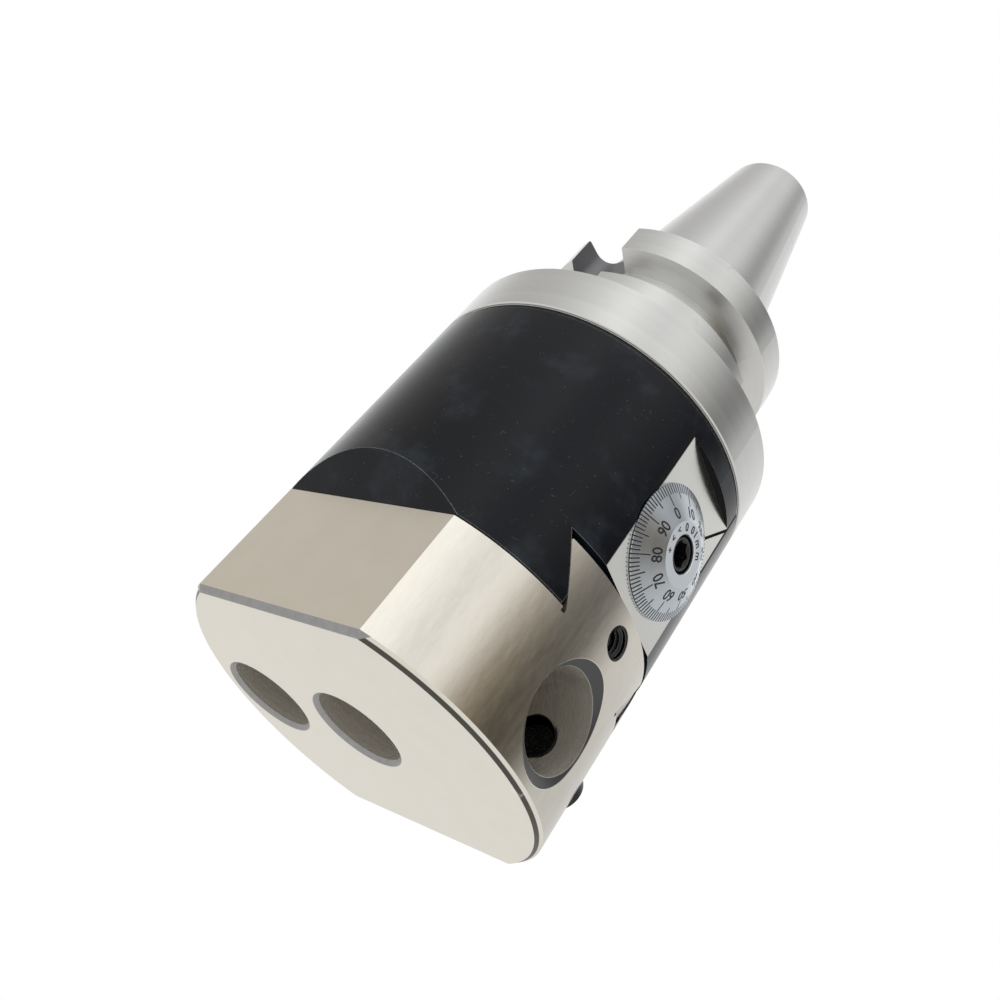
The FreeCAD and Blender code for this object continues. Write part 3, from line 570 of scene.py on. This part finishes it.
# %% [markdown]
# The dial is satin chromed and brushed in rings about its own axis, with a hundred black graduations cut into its cone.
# A hundred cut lines could be modelled, but at a seventh of a millimetre wide they are only colour and a little depth,
# so they are worked out from the angle round the dial: each line keeps one width along its length, every fifth is
# longer, every tenth longest.
# %% Finish: graduated dial
dial_axis_z = 58.8
zero_angle = -64.5
chrome, wires, shader, place = new_finish("satin_chrome_dial", 1.0)
x, y = place["X"], place["Y"]
up = wires.maths("SUBTRACT", place["Z"], dial_axis_z)
reach = wires.reach(y, up)
turned = wires.maths("DEGREES", wires.maths("ARCTAN2", y, up))
count = wires.maths("DIVIDE", wires.maths("SUBTRACT", turned, zero_angle), 3.6)
nearest = wires.maths("ROUND", count)
off_line = wires.maths("ABSOLUTE", wires.maths("SUBTRACT", count, nearest))
off_mm = wires.maths("MULTIPLY", wires.maths("MULTIPLY", off_line, reach), math.radians(3.6))
line = wires.step(off_mm, 0.18, 0.13)
by_five = wires.step(wires.maths("PINGPONG", nearest, 2.5), 0.3, 0.2)
by_ten = wires.step(wires.maths("PINGPONG", nearest, 5.0), 0.3, 0.2)
inner = wires.blend(by_ten, wires.blend(by_five, 12.1, 11.0), 9.95)
line = wires.both(line, wires.step(wires.maths("SUBTRACT", reach, inner), -0.04, 0.02))
line = wires.both(line, wires.step(x, 40.25, 40.32))
rings = wires.group(rings_group, {"Across": reach, "Spacing": 0.1, "Place": place["Place"]})
face_disc = wires.both(wires.step(reach, 6.85, 6.75), wires.step(x, 43.6, 43.7))
eye = wires.step(reach, 4.1, 4.0)
worn_and_lit_edges = wires.group(edge_light_and_wear_group, {"Place": place["Place"], "Width": 0.15 * MM, "Break": 0.3})
base = wires.mix(rings["Tone"], colour(0.58, 0.63, 0.68), colour(0.72, 0.77, 0.82))
base = wires.mix(wires.maths("MULTIPLY", face_disc, 0.35), base, colour(0.78, 0.82, 0.86))
# painted shade: the eye round the socket, inside the hole, is made near black
base = wires.mix(eye, base, colour(0.05, 0.05, 0.05))
# edges brightened, partly wear and partly a painted highlight
base = wires.mix(wires.maths("MULTIPLY", worn_and_lit_edges["Mask"], 0.5), base, colour(0.85, 0.87, 0.88))
base = wires.mix(line, base, colour(0.006, 0.006, 0.007))
wires.links.new(base, shader["Base Color"])
wires.links.new(wires.maths("SUBTRACT", 1.0, line), shader["Metallic"])
rough = wires.blend(rings["Tone"], 0.26, 0.38)
wires.links.new(wires.blend(line, rough, 0.6), shader["Roughness"])
relief = wires.maths("SUBTRACT", wires.maths("MULTIPLY", rings["Height"], 0.25), wires.maths("MULTIPLY", line, 2.0))
wires.links.new(bump(wires, relief, 0.5, 0.03 * MM), shader["Normal"])
put_on(chrome, "graduated_dial")

# %% [markdown]
# The pieces that are hardly seen still get their own metal: the gib is ground steel, the bushes, washer and nut are
# bronze, the oiler is brass with a polished ball, and the pins and the retaining ring are plain machined steel. One
# function makes them all from two tones, a ring spacing and a roughness.
# %% Finish: plain machined metals


def machined_metal(name, dark, light, spacing, roughness, *names):
    material, wires, shader, place = new_finish(name, 1.0)
    rings = wires.group(rings_group, {"Across": place["Z"], "Spacing": spacing, "Place": place["Place"]})
    worn_and_lit_edges = wires.group(edge_light_and_wear_group, {"Place": place["Place"], "Width": 0.15 * MM, "Break": 0.4})
    base = wires.mix(rings["Tone"], colour(*dark), colour(*light))
    # edges brightened, partly wear and partly a painted highlight
    brighter = colour(*[min(1.0, value * 1.25) for value in light])
    wires.links.new(wires.mix(wires.maths("MULTIPLY", worn_and_lit_edges["Mask"], 0.6), base, brighter), shader["Base Color"])
    wires.links.new(wires.blend(rings["Tone"], roughness, roughness + 0.12), shader["Roughness"])
    wires.links.new(bump(wires, rings["Height"], 0.2), shader["Normal"])
    put_on(material, *names)


bushes = ("thrust_washer", "rear_bush", "feed_nut")
pins = ("screw_retainer", "dial_pin", "dowel_pin_1", "dowel_pin_2")
machined_metal("ground_gib", (0.5, 0.48, 0.43), (0.66, 0.64, 0.58), 0.3, 0.28, "gib_strip")
machined_metal("bearing_bronze", (0.55, 0.36, 0.16), (0.7, 0.48, 0.24), 0.4, 0.3, *bushes)
machined_metal("oiler_brass", (0.62, 0.46, 0.2), (0.78, 0.6, 0.3), 0.2, 0.25, "oiler_body")
machined_metal("polished_ball", (0.66, 0.66, 0.66), (0.74, 0.74, 0.74), 0.6, 0.1, "oiler_ball")
machined_metal("plain_steel", (0.4, 0.4, 0.4), (0.56, 0.56, 0.56), 0.25, 0.32, *pins)

# %% [markdown]
# The numbers on the dial's cone stand a hair proud, in matt black. They start as text, become meshes, and are then laid
# on the cone: a point's distance from the dial's axis says how far out the cone is there, so each point is moved to its
# own height and the number bends with the cone. They ride with the dial.
# %% Numbers laid on the dial
dial_radius, face_radius, rim_x, face_x = 14.0, 6.8, 40.5, 43.8
ink, wires, shader, place = new_finish("filled_black", 0.0)
grain = wires.noise(place["Place"], 6.0, 2.0)
wires.links.new(wires.mix(grain, colour(0.004, 0.004, 0.005), colour(0.012, 0.012, 0.013)), shader["Base Color"])
wires.links.new(wires.blend(grain, 0.5, 0.7), shader["Roughness"])


def cone_x(reach):
    """How far out along X the dial's surface is, at that distance from its axis."""
    share = min(1.0, max(0.0, (dial_radius - reach) / (dial_radius - face_radius)))
    return rim_x + share * (face_x - rim_x)


def text_mesh(words, size):
    """Flat text as a mesh in millimetres, centred on the origin, reading along X with its top to +Y."""
    bpy.ops.object.select_all(action="DESELECT")
    bpy.ops.object.text_add(location=(0, 0, 0))
    piece = bpy.context.object
    piece.data.body = words
    piece.data.size = size
    piece.data.extrude = 0.02
    piece.data.offset = 0.03
    piece.data.resolution_u = 4
    piece.data.align_x = "CENTER"
    piece.data.align_y = "CENTER"
    bpy.ops.object.convert(target="MESH")
    return bpy.context.object


def lay_on_dial(piece, angle, middle):
    """Moves a text mesh onto the dial, bottom to the axis, and bends it onto the cone."""
    turn = math.radians(angle)
    for point in piece.data.vertices:
        right, rise, lift = point.co
        out = middle + rise
        # clockwise from +Z towards +Y, as seen from the dial's front
        side = out * math.sin(turn) + right * math.cos(turn)
        up = out * math.cos(turn) - right * math.sin(turn)
        reach = math.hypot(side, up)
        point.co = Vector((cone_x(reach) + 0.015 + lift, side, up + dial_axis_z)) * MM


def join_pieces(name, pieces):
    bpy.ops.object.select_all(action="DESELECT")
    for piece in pieces:
        piece.select_set(True)
    bpy.context.view_layer.objects.active = pieces[0]
    bpy.ops.object.join()
    whole = bpy.context.object
    whole.name = name
    return whole


def finish_mark(whole):
    """Gives a laid mark its material and lets it ride with the dial."""
    bpy.ops.object.select_all(action="DESELECT")
    whole.select_set(True)
    bpy.context.view_layer.objects.active = whole
    bpy.ops.object.mode_set(mode="EDIT")
    bpy.ops.mesh.select_all(action="SELECT")
    bpy.ops.mesh.remove_doubles(threshold=1e-7)
    bpy.ops.mesh.normals_make_consistent(inside=False)
    bpy.ops.object.mode_set(mode="OBJECT")
    whole.data.materials.clear()
    whole.data.materials.append(ink)
    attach(whole, "dial")


for tens in range(10):
    number = text_mesh(str(10 * tens), 3.1)
    lay_on_dial(number, zero_angle + 36 * tens, 8.5)
    number.name = "dial_number_%d" % (10 * tens)
    finish_mark(number)
print("ten numbers laid round the dial, 36 degrees apart")

# %% [markdown]
# The flat face round the socket says what one division is worth, and arrows show which way moves the bar outwards.
# Each letter is its own small text, so that the line follows the circle.
# %% The scale's unit and its arrows
letters = [("0", -45), (".", -32), ("0", -19), ("1", -3), ("m", 20), ("m", 48)]
unit = []
for letter, angle in letters:
    piece = text_mesh(letter, 3.6 if letter == "." else 2.35)
    if letter == ".":
        for point in piece.data.vertices:
            point.co.y -= 0.7
    lay_on_dial(piece, angle, 5.45)
    unit.append(piece)
finish_mark(join_pieces("dial_unit", unit))
arrows = []
for sign, angle in (("<", -74), ("<", -100), ("+", -126)):
    piece = text_mesh(sign, 2.1)
    lay_on_dial(piece, angle, 5.45)
    arrows.append(piece)
finish_mark(join_pieces("dial_arrows", arrows))

# %% [markdown]
# The tapped hole above the side bore shows its thread, because its screw sits deep. A thread is one profile carried
# round and along the hole. The Screw modifier does exactly that with a small closed outline; the two open ends are
# filled afterwards, so the ridge is a closed solid that hugs the wall of its hole.
# %% Thread in the tapped hole
hole_radius, pitch, turns, steps_per_turn = 3.03, 1.0, 2, 28
hole_start = Vector((39.2, 0, post_screw_z)) * MM
wall, crest, half_base = hole_radius + 0.02, hole_radius - 0.54 * pitch, 0.44 * pitch
bpy.ops.object.select_all(action="DESELECT")
bpy.ops.mesh.primitive_circle_add(vertices=3, radius=1.0, location=(0, 0, 0))
thread = bpy.context.object
thread.name = "post_hole_thread"
for point, (across, rise) in zip(thread.data.vertices, ((wall, -half_base), (crest, 0.0), (wall, half_base))):
    point.co = Vector((across * MM, 0, rise * MM))
winding = thread.modifiers.new("thread", "SCREW")
winding.axis = "Z"
winding.steps = steps_per_turn
winding.render_steps = steps_per_turn
winding.screw_offset = pitch * MM
winding.iterations = turns
winding.use_merge_vertices = False
bpy.ops.object.modifier_apply(modifier="thread")
bpy.ops.object.mode_set(mode="EDIT")
bpy.ops.mesh.select_all(action="DESELECT")
bpy.ops.mesh.select_mode(type="EDGE")
bpy.ops.mesh.select_non_manifold(
    extend=False, use_wire=False, use_boundary=True, use_multi_face=False, use_non_contiguous=False, use_verts=False
)
bpy.ops.mesh.edge_face_add()
bpy.ops.mesh.select_all(action="SELECT")
bpy.ops.mesh.normals_make_consistent(inside=False)
bpy.ops.object.mode_set(mode="OBJECT")
upright_to_hole = Vector((0, 0, 1)).rotation_difference(Vector((1, 0, 0))).to_matrix().to_4x4()
thread.data.transform(Matrix.Translation(hole_start) @ upright_to_hole)
bpy.ops.object.shade_smooth_by_angle(angle=math.radians(50))
# the ridge takes the black screw finish, so it is as dark as the painted shade on the hole's wall
thread.data.materials.append(screw)
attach(thread, "slide")
print(thread.name, "turns", turns, "faces", len(thread.data.polygons))
